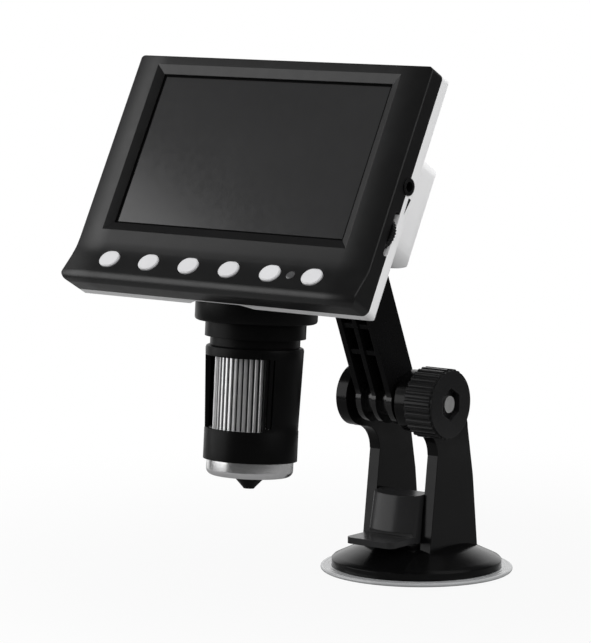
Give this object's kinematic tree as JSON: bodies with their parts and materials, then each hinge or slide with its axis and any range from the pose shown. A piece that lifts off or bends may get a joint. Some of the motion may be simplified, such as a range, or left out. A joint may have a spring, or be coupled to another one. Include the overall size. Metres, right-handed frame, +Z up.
{
  "type": "lcd digital microscope",
  "caption": "Portable microscope with a built-in tilted display and a focus barrel below it, on a ribbed tilting arm and a lever-locked suction stand.",
  "frame": {"origin": "centre of the suction pad, on the surface it stands on", "axes": "+Z up, +X along the clamp bolt towards the knob, the display faces -Y"},
  "size_m": [0.1253, 0.1569, 0.1859],
  "materials": {
    "black_plastic": "fine satin texture",
    "stand_plastic": "moulded, satin",
    "white_plastic": "smooth satin",
    "knob_plastic": "moulded, satin",
    "pad_vinyl": "soft translucent vinyl",
    "screen_glass": "smooth, dark",
    "panel": "dark display module",
    "circuit_board": "solder mask",
    "battery_wrap": "shrink wrapped cell",
    "nickel": "nickel plated",
    "steel": "zinc plated",
    "silver_ring": "satin anodised",
    "silver_plastic": "silver paint",
    "button_plastic": "satin silver",
    "lens_glass": "coated",
    "led_yellow": "resin",
    "diffuser_plastic": "frosted"
  },
  "bodies": {
    "stand": {"stand_body": "stand_plastic", "suction_pad": "pad_vinyl", "clamp_bolt": "nickel", "clamp_washer": "steel"},
    "plunger": {"plunger": "steel", "lever_pin": "steel"},
    "lever": {"lock_lever": "stand_plastic"},
    "knob": {"clamp_knob": "knob_plastic", "clamp_nut": "steel"},
    "arm": {"arm": "stand_plastic", "pivot_screw": "steel", "pivot_nut": "steel"},
    "head": {"front_casing": "black_plastic", "rear_casing": "white_plastic", "screen_glass": "screen_glass", "lcd_panel": "panel", "main_board": "circuit_board", "key_board": "circuit_board", "battery_cell": "battery_wrap", "case_screws": "steel", "power_jack": "black_plastic", "indicator_light": "diffuser_plastic", "head_bracket": "stand_plastic", "bracket_screws": "steel", "barrel_collar": "black_plastic", "barrel_sleeve": "black_plastic", "sensor_board": "circuit_board", "light_board": "circuit_board", "ring_leds": "led_yellow", "light_diffuser": "diffuser_plastic", "end_ring": "silver_ring", "nose_cone": "black_plastic"},
    "dimmer": {"dimmer_wheel": "black_plastic"},
    "focus": {"focus_wheel": "silver_plastic"},
    "lens": {"lens_tube": "black_plastic", "objective_lens": "lens_glass"},
    "button_power_body": {"button_power": "button_plastic"},
    "button_menu_body": {"button_menu": "button_plastic"},
    "button_up_body": {"button_up": "button_plastic"},
    "button_ok_body": {"button_ok": "button_plastic"},
    "button_down_body": {"button_down": "button_plastic"},
    "button_snap_body": {"button_snap": "button_plastic"}
  },
  "joints": [
    {"name": "plunger_lift", "type": "slide", "parent": "stand", "child": "plunger", "axis": [0, 0, 1], "range_m": [-0.003, 0], "deforming": ["suction_pad"]},
    {"name": "lever_turn", "type": "hinge", "parent": "plunger", "child": "lever", "pos_m": [0, 0, 0.0172], "axis": [-1, 0, 0], "range_deg": [0, 80]},
    {"name": "knob_turn", "type": "hinge", "parent": "stand", "child": "knob", "pos_m": [0.021, -0.018, 0.0645], "axis": [1, 0, 0], "range_deg": [0, 270]},
    {"name": "arm_tilt", "type": "hinge", "parent": "stand", "child": "arm", "pos_m": [0, -0.018, 0.0645], "axis": [1, 0, 0], "range_deg": [-55, 20]},
    {"name": "head_tilt", "type": "hinge", "parent": "arm", "child": "head", "pos_m": [0, -0.0454, 0.12782], "axis": [1, 0, 0], "range_deg": [-30, 25]},
    {"name": "dimmer_turn", "type": "hinge", "parent": "head", "child": "dimmer", "pos_m": [0.05665, -0.10158, 0.13261], "axis": [0, -0.8788, 0.4772], "range_deg": [-130, 130]},
    {"name": "focus_turn", "type": "hinge", "parent": "head", "child": "focus", "pos_m": [0, -0.09336, 0.10573], "axis": [0, 0.0671, 0.9977], "range_deg": [-180, 180]},
    {"name": "lens_slide", "type": "slide", "parent": "head", "child": "lens", "axis": [0, 0.0671, 0.9977], "range_m": [-0.004, 0.004]},
    {"name": "press_power", "type": "slide", "parent": "head", "child": "button_power_body", "axis": [0, 0.6909, -0.723], "range_m": [0, 0.0003], "stiffness_N_per_m": 1500},
    {"name": "press_menu", "type": "slide", "parent": "head", "child": "button_menu_body", "axis": [0, 0.6909, -0.723], "range_m": [0, 0.0003], "stiffness_N_per_m": 1500},
    {"name": "press_up", "type": "slide", "parent": "head", "child": "button_up_body", "axis": [0, 0.6909, -0.723], "range_m": [0, 0.0003], "stiffness_N_per_m": 1500},
    {"name": "press_ok", "type": "slide", "parent": "head", "child": "button_ok_body", "axis": [0, 0.6909, -0.723], "range_m": [0, 0.0003], "stiffness_N_per_m": 1500},
    {"name": "press_down", "type": "slide", "parent": "head", "child": "button_down_body", "axis": [0, 0.6909, -0.723], "range_m": [0, 0.0003], "stiffness_N_per_m": 1500},
    {"name": "press_snap", "type": "slide", "parent": "head", "child": "button_snap_body", "axis": [0, 0.6909, -0.723], "range_m": [0, 0.0003], "stiffness_N_per_m": 1500}
  ],
  "couplings": [
    {"joint": "lever_turn", "follows": "plunger_lift", "rad_per_m": -465},
    {"joint": "focus_turn", "follows": "lens_slide", "rad_per_m": 785}
  ]
}
